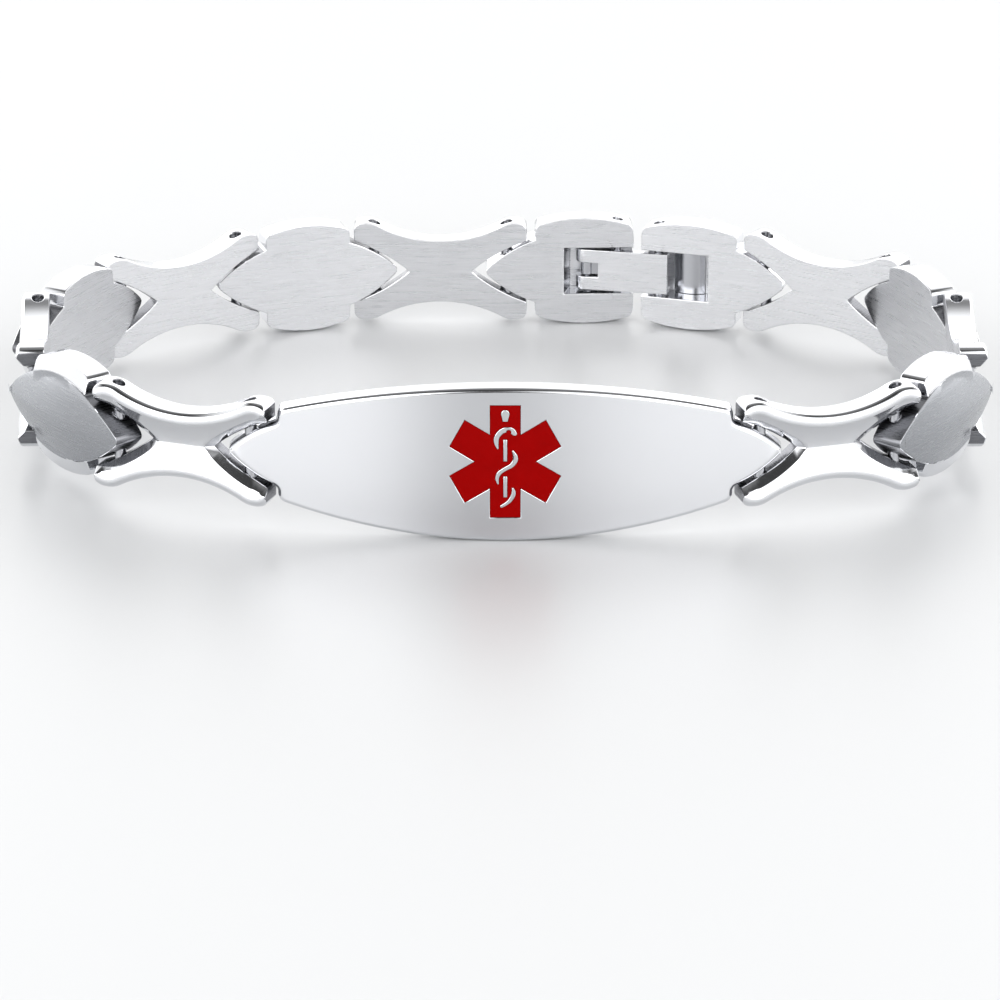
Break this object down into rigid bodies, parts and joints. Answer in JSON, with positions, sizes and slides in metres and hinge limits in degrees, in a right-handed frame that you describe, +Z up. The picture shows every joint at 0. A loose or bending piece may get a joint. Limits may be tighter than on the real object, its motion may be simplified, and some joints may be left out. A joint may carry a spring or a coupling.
{
  "type": "medical alert bracelet",
  "caption": "Steel link bracelet with a curved nameplate, a red medical star on it, and a folding clasp.",
  "frame": {"origin": "middle of the footprint, on the surface that it rests on", "axes": "+X along the nameplate, from its left end to its right as one reads it; +Y from the nameplate to the clasp; +Z up, across the width of the links"},
  "size_m": [0.0782, 0.0508, 0.0124],
  "materials": {
    "plate_steel": "polished front, finely brushed back",
    "cross_steel": "polished",
    "leaf_steel": "satin leaf between polished slopes",
    "pin_steel": "ground",
    "clasp_steel": "finely brushed",
    "red_enamel": "glossy enamel"
  },
  "bodies": {
    "bracelet": {"id_plate": "plate_steel", "star_enamel": "red_enamel", "x_link_1": "cross_steel", "x_link_2": "cross_steel", "x_link_3": "cross_steel", "x_link_4": "cross_steel", "x_link_5": "cross_steel", "x_link_6": "cross_steel", "x_link_7": "cross_steel", "leaf_link_1": "leaf_steel", "leaf_link_2": "leaf_steel", "leaf_link_3": "leaf_steel", "leaf_link_4": "leaf_steel", "leaf_link_5": "leaf_steel", "link_pin_1": "pin_steel", "link_pin_2": "pin_steel", "link_pin_3": "pin_steel", "link_pin_4": "pin_steel", "link_pin_5": "pin_steel", "link_pin_6": "pin_steel", "link_pin_7": "pin_steel", "link_pin_8": "pin_steel", "link_pin_9": "pin_steel", "link_pin_10": "pin_steel", "link_pin_11": "pin_steel", "link_pin_12": "pin_steel", "link_pin_13": "pin_steel", "link_pin_14": "pin_steel", "clasp_link_right": "clasp_steel", "clasp_link_left": "clasp_steel", "clasp_pin_right": "pin_steel", "clasp_pin_left": "pin_steel", "clasp_hinge": "clasp_steel", "clasp_hinge_pin": "pin_steel", "clasp_spring": "clasp_steel"},
    "clasp_lever": {"clasp_lever": "clasp_steel"}
  },
  "joints": [
    {"name": "lever_hinge", "type": "hinge", "parent": "bracelet", "child": "clasp_lever", "pos_m": [0.00744, 0.02324, 0.00463], "axis": [0, -0.0335, -0.9994], "range_deg": [0, 100]}
  ]
}
